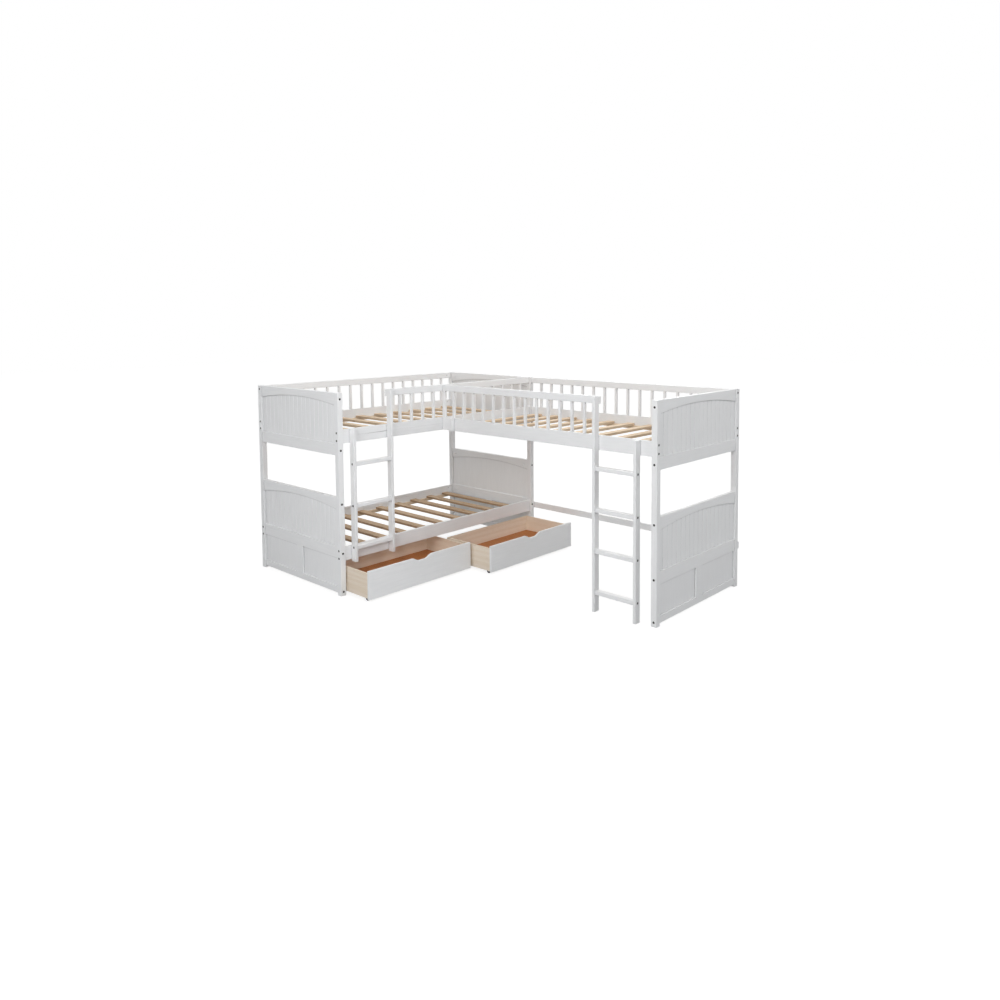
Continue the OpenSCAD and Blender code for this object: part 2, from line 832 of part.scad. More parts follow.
module barrel_nuts() {
    color(steel) {
        at_left() panel_nuts(left_ends);
        at_corner() panel_nuts(corner_ends);
        at_right() panel_nuts(right_ends);
        place() for (z = [upper_rail_z + ladder_bolts_z[0], upper_rail_z + ladder_bolts_z[1],
                          guard_mid])
            translate([near_face + nut_reach, loft_near_y + rail_thickness / 2, z])
                along("+y") barrel_nut();
    }
}

// ---- drawers -------------------------------------------------------------
// A drawer is drawn with its front's outer face at X = 0, facing +X, from Y = 0.

closed_x = near_face + front_lip;

module at_left_drawer() {
    place() translate([closed_x + left_pull, drawer_start, 0]) children();
}

module at_right_drawer() {
    place() translate([closed_x + right_pull, drawer_start + drawer_width + drawer_space, 0])
        children();
}

// the hand notch: a level bottom with an S-curve up to the edge on each side
notch_steps = 12;
notch_ramp = notch_width * 0.37;
function notch_curve(t) = notch_depth * (1 + cos(180 * t)) / 2;
notch_points = concat(
    [for (i = [0:notch_steps])
        [-notch_width / 2 + notch_ramp * i / notch_steps, -notch_curve(1 - i / notch_steps)]],
    [for (i = [0:notch_steps])
        [notch_width / 2 - notch_ramp * (1 - i / notch_steps), -notch_curve(i / notch_steps)]],
    [[notch_width / 2, past], [-notch_width / 2, past]]
);

module drawer_front() {
    color(paint) difference() {
        translate([-front_t, 0, front_z]) cube([front_t, drawer_width, drawer_height]);
        translate([-front_t - past, drawer_width / 2, front_z + drawer_height])
            rotate([90, 0, 90]) linear_extrude(front_t + 2 * past) polygon(notch_points);
        translate([-front_t - past, front_overlap + groove_d, bottom_z])
            cube([groove_d + past, box_width - 2 * groove_d, bottom_t]);
    }
}

module drawer_sides() {
    length = drawer_depth - front_t;
    color(ply) for (y = [front_overlap, front_overlap + box_width - side_t]) difference() {
        translate([-drawer_depth, y, side_z]) cube([length, side_t, side_top - side_z]);
        translate([-drawer_depth + side_t - groove_d, front_overlap + groove_d, bottom_z])
            cube([length, box_width - 2 * groove_d, bottom_t]);
    }
}

module drawer_back() {
    color(ply) difference() {
        translate([-drawer_depth, front_overlap + side_t, side_z])
            cube([side_t, box_width - 2 * side_t, side_top - side_z]);
        translate([-drawer_depth + side_t - groove_d, 0, bottom_z])
            cube([side_t, drawer_width, bottom_t]);
    }
}

module drawer_bottom() {
    color(hardboard)
        translate([-drawer_depth + side_t - groove_d, front_overlap + groove_d, bottom_z])
            cube([drawer_depth - front_t - side_t + 2 * groove_d, box_width - 2 * groove_d,
                  bottom_t]);
}

// the four casters' middles: two by the front, two by the back
caster_x = [-front_t - caster_in, -drawer_depth + side_t + caster_in];
caster_y = [front_overlap + side_t + fork_w / 2,
            front_overlap + box_width - side_t - fork_w / 2];
caster_spots = [for (x = caster_x, y = caster_y) [x, y, wheel_r]];

// a caster's bracket: its plate lies on the drawer's side, here towards -Y, up to the
// bottom board; a bridge over the wheel carries the second cheek and the axle
module caster_fork() {
    bridge_z = wheel_r + wheel_gap;
    translate([-fork_l / 2, -fork_w / 2, bridge_z])
        cube([fork_l, fork_t, bottom_z - wheel_r - bridge_z]);
    translate([-fork_l / 2, -fork_w / 2, bridge_z]) cube([fork_l, fork_w, fork_t]);
    for (y = [-fork_w / 2, fork_w / 2 - fork_t]) translate([0, y, 0]) {
        translate([0, fork_t, 0]) rotate([90, 0, 0])
            cylinder(r = 3 * axle_r, h = fork_t, $fn = round_fn);
        translate([-3 * axle_r, 0, 0]) cube([6 * axle_r, fork_t, bridge_z + fork_t / 2]);
    }
    translate([0, fork_w / 2, 0]) rotate([90, 0, 0])
        cylinder(r = axle_r, h = fork_w, $fn = round_fn);
}

module drawer_forks() {
    color(steel) for (x = caster_x, i = [0, 1])
        translate([x, caster_y[i], wheel_r]) mirror([0, i, 0]) caster_fork();
}

// a wheel about Y: a rounded tread, dished faces and a bored hub
module wheel() {
    half = wheel_w / 2;
    rim = wheel_r * 0.72;
    hub = 2.6 * axle_r;
    color(tyre) rotate([90, 0, 0]) rotate_extrude($fn = 64)
        polygon([[axle_r + run_fit, -half], [hub, -half], [hub, -half + 2], [rim, -half + 2],
                 [rim, -half], [wheel_r - 1, -half], [wheel_r, -half + 1],
                 [wheel_r, half - 1], [wheel_r - 1, half], [rim, half], [rim, half - 2],
                 [hub, half - 2], [hub, half], [axle_r + run_fit, half]]);
}

module left_wheel(i) { at_left_drawer() translate(caster_spots[i]) wheel(); }

module right_wheel(i) { at_right_drawer() translate(caster_spots[i]) wheel(); }

// ---- nodes ---------------------------------------------------------------

color(paint) at_left() panel_posts(left_ends);  // left_posts
color(paint) at_left() arched_rail(upper_spring, panel_bolts[0]);  // left_top_rail
color(paint) at_left() straight_rail(upper_panel_z, panel_rail_h, panel_bolts[1], board_t);  // left_upper_bottom_rail
color(paint) at_left() arched_rail(lower_spring, panel_bolts[2]);  // left_lower_top_rail
color(paint) at_left() beadboards();  // left_beadboards
color(paint) at_left() lower_frame();  // left_lower_frame
color(paint) at_left() flat_panels();  // left_flat_panels

color(paint) corner_posts();
color(paint) at_corner() arched_rail(upper_spring, panel_bolts[0]);  // corner_top_rail
color(paint) at_corner() straight_rail(upper_panel_z, panel_rail_h, panel_bolts[1], board_t);  // corner_upper_bottom_rail
color(paint) at_corner() arched_rail(lower_spring, panel_bolts[2]);  // corner_lower_top_rail
color(paint) at_corner() beadboards();  // corner_beadboards
color(paint) at_corner() lower_frame();  // corner_lower_frame
color(paint) at_corner() flat_panels();  // corner_flat_panels

color(paint) right_posts();
color(paint) at_right() arched_rail(upper_spring, panel_bolts[0]);  // right_top_rail
color(paint) at_right() straight_rail(upper_panel_z, panel_rail_h, panel_bolts[1], board_t);  // right_upper_bottom_rail
color(paint) at_right() arched_rail(lower_spring, panel_bolts[2]);  // right_lower_top_rail
color(paint) at_right() beadboards();  // right_beadboards
color(paint) at_right() lower_frame();  // right_lower_frame
color(paint) at_right() flat_panels();  // right_flat_panels

// the corner posts also take the loft's dowels and the stretcher's bolt
module corner_posts() {
    difference() {
        at_corner() panel_posts(corner_ends);
        place() {
            dowel_spots() dowel_hole();
            stretcher_spots() bolt_hole(stretcher_bolt);
        }
    }
}

module right_posts() {
    difference() {
        at_right() panel_posts(right_ends);
        place() stretcher_spots() bolt_hole(stretcher_bolt);
    }
}

bunk_upper_side_rails();
bunk_lower_side_rails();
loft_side_rails();
corner_block();
back_stretcher();
slat_ledgers();
lower_deck_slats();
upper_deck_slats();
loft_deck_slats();
bunk_guard_rails();
loft_guard_rails();
bunk_balusters();
loft_balusters();
bunk_ladder_stiles();
bunk_ladder_rungs();
loft_ladder_stiles();
loft_ladder_rungs();
frame_bolts();
barrel_nuts();
ladder_bolts();
loft_dowels();

at_left_drawer() drawer_front();  // left_drawer_front
at_left_drawer() drawer_sides();  // left_drawer_sides
at_left_drawer() drawer_back();  // left_drawer_back
at_left_drawer() drawer_bottom();  // left_drawer_bottom
at_left_drawer() drawer_forks();  // left_drawer_forks
at_right_drawer() drawer_front();  // right_drawer_front
at_right_drawer() drawer_sides();  // right_drawer_sides
at_right_drawer() drawer_back();  // right_drawer_back
at_right_drawer() drawer_bottom();  // right_drawer_bottom
at_right_drawer() drawer_forks();  // right_drawer_forks
left_wheel(0);  // left_drawer_wheel_1
left_wheel(1);  // left_drawer_wheel_2
left_wheel(2);  // left_drawer_wheel_3
left_wheel(3);  // left_drawer_wheel_4
right_wheel(0);  // right_drawer_wheel_1
right_wheel(1);  // right_drawer_wheel_2
right_wheel(2);  // right_drawer_wheel_3
right_wheel(3);  // right_drawer_wheel_4
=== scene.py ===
"""Looks of the L-shaped bunk bed: paint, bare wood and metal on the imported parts.

The row frame is in metres: +X along the loft, +Y along the bunk, +Z up.
"""

import math

import bpy
from mathutils import Matrix, Vector

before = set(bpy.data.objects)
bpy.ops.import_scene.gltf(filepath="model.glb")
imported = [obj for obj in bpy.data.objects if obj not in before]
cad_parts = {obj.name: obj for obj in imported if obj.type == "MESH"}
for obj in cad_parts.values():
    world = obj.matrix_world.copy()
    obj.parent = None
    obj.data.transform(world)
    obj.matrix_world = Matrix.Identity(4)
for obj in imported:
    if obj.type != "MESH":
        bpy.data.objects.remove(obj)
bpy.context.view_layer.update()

# ---- camera, solved from the photograph's edges ----------------------------

IMAGE = 1000                       # the photograph's side, in pixels
SENSOR = 36.0                      # mm
FOCAL_PX = 797.26                  # focal length, in pixels
CENTRE_PX = (538.31, 372.19)       # where the optical axis meets the photograph
CAMERA_AT = (4.2078, -4.1881, 1.9267)
YAW, PITCH, ROLL = 41.604, 3.747, -0.267


def make_camera():
    """The photograph's camera: its place, its turn and its off-centre frame."""
    yaw, pitch, roll = (math.radians(a) for a in (YAW, PITCH, ROLL))
    back = Vector((math.sin(yaw) * math.cos(pitch),
                   -math.cos(yaw) * math.cos(pitch), math.sin(pitch)))
    level = (-back).cross(Vector((0, 0, 1))).normalized()
    up = level.cross(-back)
    right = level * math.cos(roll) + up * math.sin(roll)
    up = up * math.cos(roll) - level * math.sin(roll)
    data = bpy.data.cameras.new("photo_camera")
    data.sensor_width = SENSOR
    data.lens = FOCAL_PX / IMAGE * SENSOR
    data.shift_x = (IMAGE / 2 - CENTRE_PX[0]) / IMAGE
    data.shift_y = (CENTRE_PX[1] - IMAGE / 2) / IMAGE
    data.clip_start, data.clip_end = 0.1, 60
    camera = bpy.data.objects.new("photo_camera", data)
    bpy.context.collection.objects.link(camera)
    turn = Matrix((right, up, back)).transposed().to_4x4()
    camera.matrix_world = Matrix.Translation(CAMERA_AT) @ turn
    bpy.context.scene.camera = camera


# ---- material helpers -------------------------------------------------------

ISLAND_SHIFT = 37.0                # metres between the grain of two boards, at most
LIGHT_LEAN = (0.0, 0.0, 0.7)       # added to a normal, so that the painted shade in creases falls as under light from above


class Tree:
    """A short way to write a material's nodes."""

    def __init__(self, name):
        self.material = bpy.data.materials.new(name)
        self.material.use_nodes = True
        self.nodes = self.material.node_tree.nodes
        self.links = self.material.node_tree.links
        self.shader = self.nodes["Principled BSDF"]

    def feed(self, socket, value):
        """Sets an input, or links it if the value is another node's output."""
        if isinstance(value, bpy.types.NodeSocket):
            self.links.new(value, socket)
        else:
            socket.default_value = value

    def math(self, operation, a, b=0.0):
        """A sum, product and so on of two numbers, or of the first alone."""
        node = self.nodes.new("ShaderNodeMath")
        node.operation = operation
        self.feed(node.inputs[0], a)
        self.feed(node.inputs[1], b)
        return node.outputs[0]

    def remap(self, value, low, high, to_low, to_high):
        """The value moved smoothly from the range low..high to to_low..to_high."""
        node = self.nodes.new("ShaderNodeMapRange")
        node.interpolation_type = "SMOOTHSTEP"
        for key, v in zip(("Value", "From Min", "From Max", "To Min", "To Max"),
                          (value, low, high, to_low, to_high)):
            self.feed(node.inputs[key], v)
        return node.outputs[0]

    def mix(self, factor, a, b):
        """A colour mixed from a to b."""
        node = self.nodes.new("ShaderNodeMix")
        node.data_type = "RGBA"
        self.feed(node.inputs[0], factor)
        for socket, value in ((node.inputs[6], a), (node.inputs[7], b)):
            if isinstance(value, bpy.types.NodeSocket):
                self.links.new(value, socket)
            else:
                socket.default_value = (*value, 1.0)
        return node.outputs[2]

    def noise(self, vector, scale, detail=3.0, rough=0.55):
        """Soft noise of about 0.2 to 0.8, with scale features to the metre."""
        node = self.nodes.new("ShaderNodeTexNoise")
        self.feed(node.inputs["Vector"], vector)
        node.inputs["Scale"].default_value = scale
        node.inputs["Detail"].default_value = detail
        node.inputs["Roughness"].default_value = rough
        return node.outputs[0]

    def bump(self, height, strength, distance):
        """A normal that the height tilts, as relief of that distance in metres."""
        node = self.nodes.new("ShaderNodeBump")
        node.inputs["Strength"].default_value = strength
        node.inputs["Distance"].default_value = distance
        self.feed(node.inputs["Height"], height)
        return node.outputs[0]

    def vector(self, operation, *values):
        """A vector sum, product or unit vector; a length or dot product is a number."""
        node = self.nodes.new("ShaderNodeVectorMath")
        node.operation = operation
        for socket, value in zip(node.inputs, values):
            self.feed(socket, value)
        return node.outputs["Value" if operation in ("LENGTH", "DOT_PRODUCT") else 0]

    def place(self):
        """Object coordinates, in metres."""
        return self.nodes.new("ShaderNodeTexCoord").outputs["Object"]

    def normal(self):
        """The surface's own direction."""
        return self.nodes.new("ShaderNodeNewGeometry").outputs["Normal"]

    def upward(self, normal):
        """The normal's Z: 1 on a top, 0 on a side, -1 on an underside."""
        split = self.nodes.new("ShaderNodeSeparateXYZ")
        self.links.new(normal, split.inputs[0])
        return split.outputs["Z"]

    def edge(self, radius):
        """0 on flats to 1 on an outer or inner edge."""
        bevel = self.nodes.new("ShaderNodeBevel")
        bevel.samples = 4
        bevel.inputs["Radius"].default_value = radius
        alike = self.vector("DOT_PRODUCT", bevel.outputs[0], self.normal())
        return self.remap(alike, 0.70, 0.99, 1.0, 0.0)

    def painted_crease_shade(self, reach):
        """Painted shade: 0 on open faces to 1 deep in a groove or under an edge, darkest where
        light from above can't reach; tops of ledges stay unshaded.
        """
        normal = self.normal()
        toward_light = self.vector("ADD", normal, LIGHT_LEAN)
        node = self.nodes.new("ShaderNodeAmbientOcclusion")
        node.samples = 8
        node.inputs["Distance"].default_value = reach
        self.feed(node.inputs["Normal"], self.vector("NORMALIZE", toward_light))
        dark = self.remap(node.outputs["AO"], 0.30, 0.92, 1.0, 0.0)
        not_a_top = self.remap(self.upward(normal), 0.2, 0.8, 1.0, 0.0)
        return self.math("MULTIPLY", dark, not_a_top)

    def stretch(self, vector, axis, factor):
        """The vector with one axis scaled; under 1 it draws a pattern out along that axis."""
        scale = [1.0, 1.0, 1.0]
        scale["xyz".index(axis)] = factor
        return self.vector("MULTIPLY", vector, scale)

    def grain_space(self, axis, squeeze):
        """Object coordinates, squeezed along the grain and moved apart board by board."""
        island = self.nodes.new("ShaderNodeNewGeometry").outputs["Random Per Island"]
        shift = self.math("MULTIPLY", island, ISLAND_SHIFT)
        join = self.nodes.new("ShaderNodeCombineXYZ")
        for socket in join.inputs:
            self.feed(socket, shift)
        apart = self.vector("ADD", self.place(), join.outputs[0])
        return self.stretch(apart, axis, squeeze), island


# the edge colour lightens edges, partly as wear and partly as painted highlight; the crease
# colour is painted shade
PAINT = {"thin": (0.872, 0.879, 0.889), "full": (0.917, 0.923, 0.930),
         "cloud": (0.853, 0.857, 0.865), "board": (0.893, 0.896, 0.898),
         "edge": (0.955, 0.95, 0.935), "painted_crease_shade": (0.42, 0.42, 0.43)}
WORN_HIGHLIGHT_WIDTH = 0.0022                # metres; the lighter line on a painted edge, partly wear and partly painted highlight
PAINTED_SHADE_REACH = 0.014               # metres; how far out of a crease the painted shade goes
PAINTED_SHADE_DEPTH = 0.52                # how far the painted shade takes the paint towards its dark colour, of 1


def painted_wood(axis):
    """White satin paint on pine: faint grain, soft unevenness, edges lightened as wear and
    painted highlight, painted shade in creases.
    """
    t = Tree("white_paint_" + axis)
    space, island = t.grain_space(axis, 0.07)
    grain = t.noise(space, scale=90.0, detail=4.0, rough=0.6)
    brush = t.noise(space, scale=420.0, detail=2.0, rough=0.5)
    cloud = t.noise(t.place(), scale=2.2, detail=3.0)
    tone = t.mix(t.remap(grain, 0.3, 0.75, 0.0, 1.0), PAINT["thin"], PAINT["full"])
    tone = t.mix(t.remap(cloud, 0.3, 0.7, 0.0, 0.35), tone, PAINT["cloud"])
    tone = t.mix(t.math("MULTIPLY", island, 0.25), tone, PAINT["board"])
    # edges lightened unevenly: partly wear, partly painted highlight
    wear_and_highlight = t.math("MULTIPLY", t.edge(WORN_HIGHLIGHT_WIDTH), t.remap(cloud, 0.45, 0.65, 0.1, 0.45))
    tone = t.mix(wear_and_highlight, tone, PAINT["edge"])
    # painted shade: creases, grooves and undersides darkened towards a grey
    shade = t.math("MULTIPLY", t.painted_crease_shade(PAINTED_SHADE_REACH), PAINTED_SHADE_DEPTH)
    tone = t.mix(shade, tone, PAINT["painted_crease_shade"])
    t.feed(t.shader.inputs["Base Color"], tone)
    t.feed(t.shader.inputs["Roughness"], t.remap(grain, 0.25, 0.8, 0.36, 0.50))
    height = t.math("ADD", t.math("MULTIPLY", grain, 0.8), t.math("MULTIPLY", brush, 0.3))
    t.feed(t.shader.inputs["Normal"], t.bump(height, strength=0.16, distance=0.0012))
    t.shader.inputs["Specular IOR Level"].default_value = 0.45
    return t.material


BOARD_CONTRAST = 0.65              # how much darker the darkest board is, of 1
KNOTS_PER_METRE = 7.0
KNOT_SPREAD = 9.0                  # undoes most of the grain's squeeze, so knots are ovals


def bare_wood(name, axis, pale, deep, streak, knots=True, rings=26.0, sides=0.0):
    """Planed wood with growth rings, pores and a few knots; its upright sides can be darkened
    as painted shade.
    """
    t = Tree(name + "_" + axis)
    space, island = t.grain_space(axis, 0.06)
    warp = t.noise(space, scale=7.0, detail=3.0, rough=0.5).node.outputs["Color"]
    push = t.vector("MULTIPLY", warp, (0.05, 0.05, 0.05))
    wave = t.nodes.new("ShaderNodeTexWave")
    wave.wave_type, wave.rings_direction = "RINGS", axis.upper()
    wave.inputs["Scale"].default_value = rings
    wave.inputs["Distortion"].default_value = 4.0
    wave.inputs["Detail"].default_value = 3.0
    wave.inputs["Detail Scale"].default_value = 1.4
    t.feed(wave.inputs["Vector"], t.vector("ADD", space, push))
    pores = t.noise(space, scale=320.0, detail=3.0, rough=0.6)
    tone = t.mix(t.remap(wave.outputs["Fac"], 0.1, 0.9, 0.0, 0.75), pale, deep)
    tone = t.mix(t.remap(pores, 0.52, 0.72, 0.0, 0.4), tone, streak)
    tone = t.mix(t.math("MULTIPLY", island, BOARD_CONTRAST), tone, deep)
    if knots:
        cells = t.nodes.new("ShaderNodeTexVoronoi")
        cells.inputs["Scale"].default_value = KNOTS_PER_METRE
        t.feed(cells.inputs["Vector"], t.stretch(space, axis, KNOT_SPREAD))
        knot = t.remap(cells.outputs["Distance"], 0.02, 0.12, 1.0, 0.0)
        tone = t.mix(t.math("MULTIPLY", knot, 0.8), tone, streak)
    # painted shade: faces that stand upright, the sides between slats, darkened towards the
    # streak colour
    if sides:
        level = t.math("ABSOLUTE", t.upward(t.normal()))
        side_shade_mask = t.remap(level, 0.3, 0.8, 1.0, 0.0)
        tone = t.mix(t.math("MULTIPLY", side_shade_mask, sides), tone, streak)
    worn = t.math("MULTIPLY", t.edge(0.002), 0.25)
    tone = t.mix(worn, tone, pale)
    t.feed(t.shader.inputs["Base Color"], tone)
    t.feed(t.shader.inputs["Roughness"], t.remap(pores, 0.3, 0.7, 0.55, 0.72))
    height = t.math("ADD", t.math("MULTIPLY", wave.outputs["Fac"], 0.35), pores)
    t.feed(t.shader.inputs["Normal"], t.bump(height, strength=0.18, distance=0.001))
    t.shader.inputs["Specular IOR Level"].default_value = 0.3
    return t.material


HARDBOARD = {"pale": (0.42, 0.142, 0.029), "deep": (0.37, 0.120, 0.024),
             "cloud": (0.50, 0.19, 0.05)}


def hardboard(axis):
    """The drawers' orange-brown bottom board, smooth with a faint fibre fleck."""
    t = Tree("hardboard_" + axis)
    space = t.grain_space(axis, 0.3)[0]
    fleck = t.noise(space, scale=260.0, detail=4.0, rough=0.65)
    cloud = t.noise(space, scale=6.0, detail=4.0, rough=0.6)
    tone = t.mix(t.remap(fleck, 0.35, 0.7, 0.0, 1.0), HARDBOARD["pale"], HARDBOARD["deep"])
    tone = t.mix(t.remap(cloud, 0.3, 0.7, 0.0, 0.5), tone, HARDBOARD["cloud"])
    t.feed(t.shader.inputs["Base Color"], tone)
    t.feed(t.shader.inputs["Roughness"], t.remap(fleck, 0.3, 0.7, 0.38, 0.55))
    t.feed(t.shader.inputs["Normal"], t.bump(fleck, strength=0.12, distance=0.0006))
    return t.material


METAL_EDGE = (0.75, 0.75, 0.76)
PLASTIC_EDGE = (0.25, 0.25, 0.26)


def metal(name, low, high, rough, metallic):
    """Plated steel with fine scratches and lighter edges."""
    t = Tree(name)
    place = t.place()
    scratch = t.noise(place, scale=900.0, detail=3.0, rough=0.7)
    cloud = t.noise(place, scale=60.0, detail=3.0)
    tone = t.mix(t.remap(cloud, 0.3, 0.7, 0.0, 1.0), low, high)
    tone = t.mix(t.math("MULTIPLY", t.edge(0.0008), 0.35), tone, METAL_EDGE)
    t.feed(t.shader.inputs["Base Color"], tone)
    satin = t.remap(scratch, 0.3, 0.7, rough - 0.08, rough + 0.12)
    t.feed(t.shader.inputs["Roughness"], satin)
    t.feed(t.shader.inputs["Normal"], t.bump(scratch, strength=0.1, distance=0.0002))
    t.shader.inputs["Metallic"].default_value = metallic
    return t.material


def plastic(name, low, high):
    """Moulded plastic with a fine satin texture."""
    t = Tree(name)
    place = t.place()
    skin = t.noise(place, scale=1400.0, detail=2.0, rough=0.5)
    cloud = t.noise(place, scale=45.0, detail=3.0)
    tone = t.mix(t.remap(cloud, 0.3, 0.7, 0.0, 1.0), low, high)
    tone = t.mix(t.math("MULTIPLY", t.edge(0.001), 0.3), tone, PLASTIC_EDGE)
    t.feed(t.shader.inputs["Base Color"], tone)
    t.feed(t.shader.inputs["Roughness"], t.remap(skin, 0.3, 0.7, 0.42, 0.62))
    t.feed(t.shader.inputs["Normal"], t.bump(skin, strength=0.12, distance=0.0003))
    return t.material


# ---- what each node is made of ----------------------------------------------

# the first palette is a darker copy of the pale pine, for the lower deck: painted shade under
# the upper deck
PINE_PAINTED_SHADE = dict(pale=(0.70, 0.53, 0.37), deep=(0.50, 0.34, 0.205), streak=(0.30, 0.17, 0.09))
PINE_PALE = dict(pale=(0.85, 0.70, 0.52), deep=(0.73, 0.55, 0.38), streak=(0.48, 0.31, 0.18))
PLY = dict(pale=(0.89, 0.785, 0.665), deep=(0.83, 0.71, 0.57), streak=(0.68, 0.53, 0.38))
DARK_STEEL = dict(low=(0.028, 0.026, 0.025), high=(0.055, 0.052, 0.050), rough=0.50)
ZINC = dict(low=(0.50, 0.51, 0.53), high=(0.64, 0.65, 0.67), rough=0.34)
TYRE = dict(low=(0.022, 0.022, 0.024), high=(0.040, 0.040, 0.044))


def materials():
    """Node name to material, one material for each grain direction in use."""
    paint = {a: painted_wood(a) for a in "xyz"}
    steel = metal("dark_steel", metallic=0.3, **DARK_STEEL)
    zinc = metal("bright_steel", metallic=1.0, **ZINC)
    tyre = plastic("dark_plastic", **TYRE)
    board = hardboard("y")
    # the lower deck's slats: the darker pine and darker sides, as painted shade under the
    # upper deck
    lower_pine_painted_shade = bare_wood("lower_pine_painted_shade", "x", sides=0.55, **PINE_PAINTED_SHADE)
    upper_pine = bare_wood("upper_pine", "x", sides=0.30, **PINE_PALE)
    loft_pine = bare_wood("loft_pine", "y", sides=0.30, **PINE_PALE)
    ledger_pine = bare_wood("ledger_pine", "y", **PINE_PALE)
    dowel_pine = bare_wood("dowel_pine", "x", knots=False, **PINE_PALE)
    side_ply = bare_wood("side_ply", "x", knots=False, rings=9.0, **PLY)
    back_ply = bare_wood("back_ply", "y", knots=False, rings=9.0, **PLY)
    made = {}
    for end, along in (("left", "x"), ("corner", "x"), ("right", "y")):
        for part in ("top_rail", "upper_bottom_rail", "lower_top_rail", "lower_frame"):
            made[f"{end}_{part}"] = paint[along]
        for part in ("posts", "beadboards", "flat_panels"):
            made[f"{end}_{part}"] = paint["z"]
    for part in ("upper_side_rails", "lower_side_rails", "guard_rails"):
        made[f"bunk_{part}"] = paint["y"]
    for part in ("side_rails", "guard_rails"):
        made[f"loft_{part}"] = paint["x"]
    made["back_stretcher"] = paint["x"]
    for part in ("corner_block", "bunk_balusters", "loft_balusters",
                 "bunk_ladder_stiles", "loft_ladder_stiles"):
        made[part] = paint["z"]
    made["bunk_ladder_rungs"], made["loft_ladder_rungs"] = paint["y"], paint["x"]
    made["lower_deck_slats"], made["upper_deck_slats"] = lower_pine_painted_shade, upper_pine
    made["loft_deck_slats"], made["slat_ledgers"] = loft_pine, ledger_pine
    made["loft_dowels"] = dowel_pine
    made["frame_bolts"] = made["ladder_bolts"] = steel
    made["barrel_nuts"] = zinc
    for side in ("left", "right"):
        made[f"{side}_drawer_front"] = paint["y"]
        made[f"{side}_drawer_sides"] = side_ply
        made[f"{side}_drawer_back"] = back_ply
        made[f"{side}_drawer_bottom"] = board
        made[f"{side}_drawer_forks"] = zinc
        for i in range(1, 5):
            made[f"{side}_drawer_wheel_{i}"] = tyre
    return made


# ---- softened edges ---------------------------------------------------------

# radius of the edges in metres, by a word in the node's name; the first word found counts
BEVELS = {"posts": 0.0018, "rail": 0.0030, "lower_frame": 0.0018, "slats": 0.0022,
          "balusters": 0.0018, "stiles": 0.0018, "rungs": 0.0018, "block": 0.0018,
          "stretcher": 0.0022, "ledgers": 0.0012, "front": 0.0025, "sides": 0.0010,
          "back": 0.0010, "beadboards": 0.0006}
SEAM = 0.00002                     # metres; vertices closer than this are one
FLAT_ANGLE = 0.4                   # degrees; faces within it are one flat
SHARP_ANGLE = 40                   # degrees between two faces; past it their edge is rounded
BORED_ANGLE = 80                   # the same on pieces with crossing bores, which stay sharp


def bevel_of(node):
    """How far the node's edges are rounded, or 0."""
    for word, width in BEVELS.items():
        if word in node:
            return width
    return 0.0


def soften(node, obj):
    """Closes the imported mesh, drops its flat seams and rounds its edges."""
    width = bevel_of(node)
    weld = obj.modifiers.new("weld", "WELD")
    weld.merge_threshold = SEAM
    if width:
        flat = obj.modifiers.new("flat", "DECIMATE")
        flat.decimate_type = "DISSOLVE"
        flat.angle_limit = math.radians(FLAT_ANGLE)
        bevel = obj.modifiers.new("bevel", "BEVEL")
        bevel.width, bevel.segments = width, 2
        sharp = BORED_ANGLE if "rail" in node or "frame" in node else SHARP_ANGLE
        bevel.limit_method, bevel.angle_limit = "ANGLE", math.radians(sharp)
        bevel.use_clamp_overlap = False
        bevel.miter_outer = "MITER_ARC"
    normals = obj.modifiers.new("normals", "WEIGHTED_NORMAL")
    normals.weight, normals.keep_sharp = 60, False


def dress():
    """Gives every node its material and its softened edges."""
    made = materials()
    for node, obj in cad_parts.items():
        obj.data.materials.clear()
        obj.data.materials.append(made[node])
        soften(node, obj)


# ---- floor, light -----------------------------------------------------------

FLOOR_SIDE = 60.0                  # metres
FLOOR_COLOUR = (0.52, 0.525, 0.53, 1)    # what the lamps and the bed see of it
SHADE_COLOUR = (0.25, 0.25, 0.25, 1)     # what the camera sees lit, so that shadows show
GLOW_FROM, GLOW_TO = 1.6, 3.4      # metres from the bed's middle; the glow rises between
GLOW_NEAR, GLOW_FAR = 0.86, 0.985  # the floor's own brightness to the camera
ROOM_LOW, ROOM_HIGH = 0.27, 0.0    # the world's strength at the horizon and overhead
ROOM_COLOUR = (0.985, 0.99, 1.0, 1)


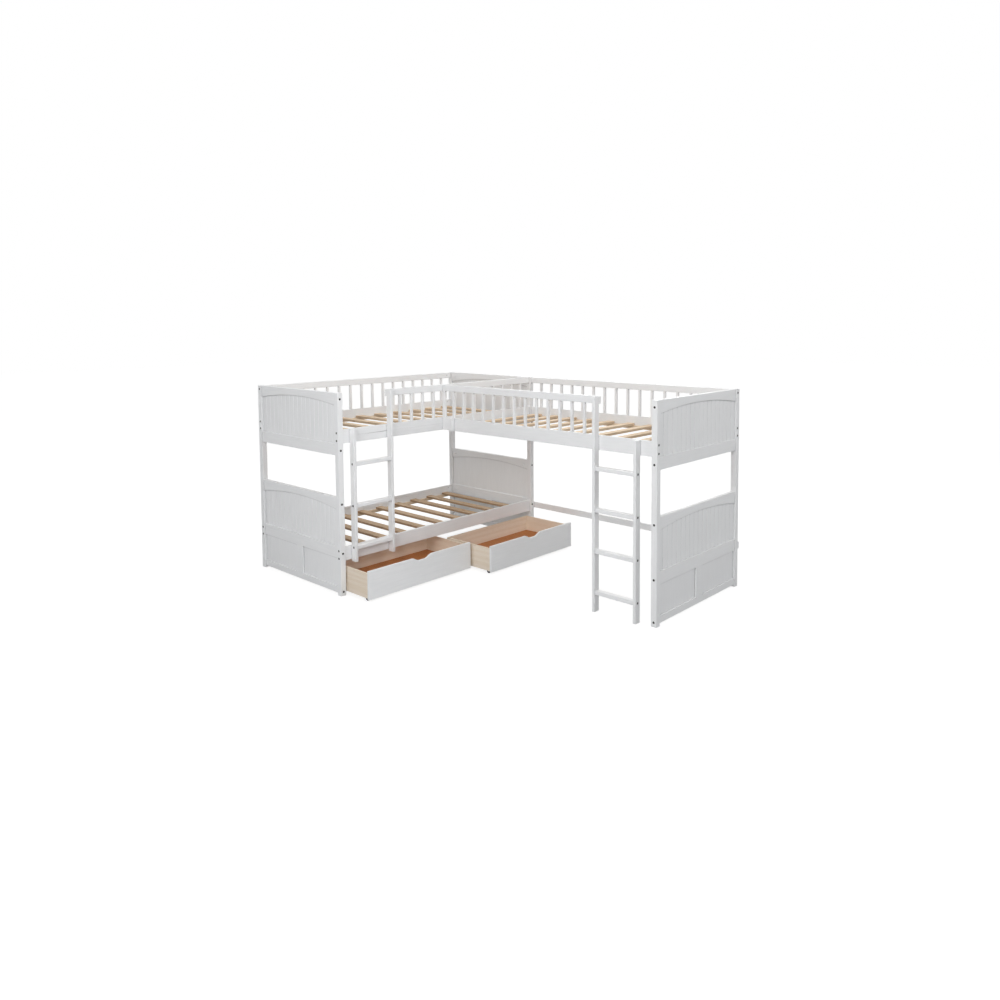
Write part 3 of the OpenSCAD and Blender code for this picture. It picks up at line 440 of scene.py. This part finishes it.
def stage_material():
    """White to the camera, with the object's shadow kept faint."""
    t = Tree("stage_white")
    out = t.nodes["Material Output"]
    path = t.nodes.new("ShaderNodeLightPath")
    seen = t.math("MAXIMUM", path.outputs["Is Camera Ray"], path.outputs["Is Glossy Ray"])
    seen = t.math("MAXIMUM", seen, path.outputs["Is Transmission Ray"])
    glow = t.nodes.new("ShaderNodeEmission")
    away = t.vector("LENGTH", t.place())
    rise = t.remap(away, GLOW_FROM, GLOW_TO, GLOW_NEAR, GLOW_FAR)
    t.feed(glow.inputs["Strength"], rise)
    t.shader.inputs["Base Color"].default_value = FLOOR_COLOUR
    t.shader.inputs["Roughness"].default_value = 0.9
    t.shader.inputs["Specular IOR Level"].default_value = 0.0
    shade = t.nodes.new("ShaderNodeBsdfDiffuse")
    shade.inputs["Color"].default_value = SHADE_COLOUR
    both = t.nodes.new("ShaderNodeAddShader")
    t.links.new(glow.outputs[0], both.inputs[0])
    t.links.new(shade.outputs[0], both.inputs[1])
    pick = t.nodes.new("ShaderNodeMixShader")
    t.links.new(seen, pick.inputs[0])
    t.links.new(t.shader.outputs[0], pick.inputs[1])
    t.links.new(both.outputs[0], pick.inputs[2])
    t.links.new(pick.outputs[0], out.inputs["Surface"])
    return t.material


def make_floor():
    """A wide floor at Z = 0, staged so that it isn't taken for a piece."""
    mesh = bpy.data.meshes.new("floor")
    half = FLOOR_SIDE / 2
    corners = [(-half, -half, 0), (half, -half, 0), (half, half, 0), (-half, half, 0)]
    mesh.from_pydata(corners, [], [(0, 1, 2, 3)])
    floor = bpy.data.objects.new("floor", mesh)
    bpy.context.collection.objects.link(floor)
    mesh.materials.append(stage_material())


def make_world():
    """A room lit at its horizon and dark overhead, and white to the camera."""
    world = bpy.data.worlds.new("studio")
    bpy.context.scene.world = world
    world.use_nodes = True
    nodes, links = world.node_tree.nodes, world.node_tree.links
    nodes.clear()
    out = nodes.new("ShaderNodeOutputWorld")
    coords = nodes.new("ShaderNodeTexCoord")
    split = nodes.new("ShaderNodeSeparateXYZ")
    links.new(coords.outputs["Generated"], split.inputs[0])
    ramp = nodes.new("ShaderNodeMapRange")
    for key, value in (("From Min", -0.1), ("From Max", 1.0),
                       ("To Min", ROOM_LOW), ("To Max", ROOM_HIGH)):
        ramp.inputs[key].default_value = value
    links.new(split.outputs["Z"], ramp.inputs["Value"])
    room = nodes.new("ShaderNodeBackground")
    room.inputs["Color"].default_value = ROOM_COLOUR
    links.new(ramp.outputs[0], room.inputs["Strength"])
    white = nodes.new("ShaderNodeBackground")
    white.inputs["Color"].default_value = (1, 1, 1, 1)
    white.inputs["Strength"].default_value = 1.0
    path = nodes.new("ShaderNodeLightPath")
    seen = path.outputs["Is Camera Ray"]
    for ray in ("Is Glossy Ray", "Is Transmission Ray"):
        either = nodes.new("ShaderNodeMath")
        either.operation = "MAXIMUM"
        links.new(seen, either.inputs[0])
        links.new(path.outputs[ray], either.inputs[1])
        seen = either.outputs[0]
    pick = nodes.new("ShaderNodeMixShader")
    links.new(seen, pick.inputs[0])
    links.new(room.outputs[0], pick.inputs[1])
    links.new(white.outputs[0], pick.inputs[2])
    links.new(pick.outputs[0], out.inputs["Surface"])


BED_MIDDLE = (0, 0, 0.8)
SIDE_LAMP = (3.0, 2.0)             # width and height of its panel, in metres
TOP_LAMP = (4.0, 3.0)


def area_light(name, place, aim, size, power):
    """A panel that shines from a place towards an aim."""
    data = bpy.data.lights.new(name, "AREA")
    data.shape, data.size, data.size_y = "RECTANGLE", size[0], size[1]
    data.energy = power
    light = bpy.data.objects.new(name, data)
    bpy.context.collection.objects.link(light)
    light.location = place
    light.rotation_mode = "QUATERNION"
    light.rotation_quaternion = (Vector(aim) - Vector(place)).to_track_quat("-Z", "Y")


def make_lights():
    """Soft panels all round the bed, the strongest in front and above; powers in watts."""
    for name, place, power in (("front", (2.0, -4.2, 2.4), 99),
                               ("camera_side", (3.8, -4.0, 2.6), 10),
                               ("right", (5.5, -1.0, 3.0), 33),
                               ("back_right", (4.5, 2.0, 3.2), 42),
                               ("left", (-4.0, -3.0, 3.0), 38),
                               ("back", (-2.5, 4.6, 3.0), 60)):
        area_light(name, place, BED_MIDDLE, SIDE_LAMP, power)
    area_light("top", (0.3, 0.3, 5.0), (0, 0, 0), TOP_LAMP, 104)


make_camera()
dress()
make_floor()
make_world()
make_lights()
bpy.context.scene.view_settings.view_transform = "Standard"
